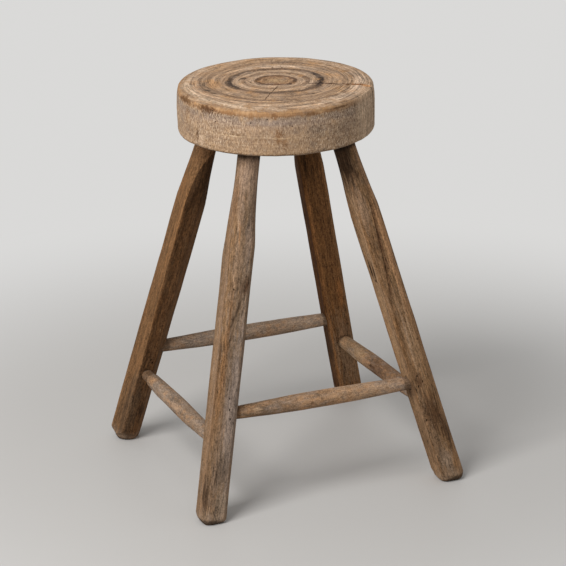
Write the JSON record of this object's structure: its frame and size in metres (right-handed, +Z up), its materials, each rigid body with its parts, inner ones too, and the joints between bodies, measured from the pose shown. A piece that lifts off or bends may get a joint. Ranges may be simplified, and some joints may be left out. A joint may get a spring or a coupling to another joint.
{
  "type": "stool",
  "caption": "Rustic backless wooden stool with a thick round log-slice seat, splayed shaved legs and cigar-shaped stretchers.",
  "frame": {"origin": "on the floor at the centre of the stool's bounding box, which is 4 mm from the seat's axis because the feet stray from a true square", "axes": "+Z up, +X to the right and -Y to the front, with the upper pair of stretchers along X at the front and back"},
  "size_m": [0.4442, 0.4324, 0.61],
  "materials": {
    "seat_wood": "bare weathered end grain with dark growth rings and a worn rim, matt",
    "leg_wood": "bare hand-shaved timber, brown with grey weathered streaks, matt",
    "stretcher_wood": "bare rounded sticks, pale tan and grey, matt"
  },
  "bodies": {
    "root": {"seat": "seat_wood", "leg_front_left": "leg_wood", "leg_front_right": "leg_wood", "leg_back_right": "leg_wood", "leg_back_left": "leg_wood", "stretcher_front": "stretcher_wood", "stretcher_back": "stretcher_wood", "stretcher_left": "stretcher_wood", "stretcher_right": "stretcher_wood"}
  },
  "joints": []
}
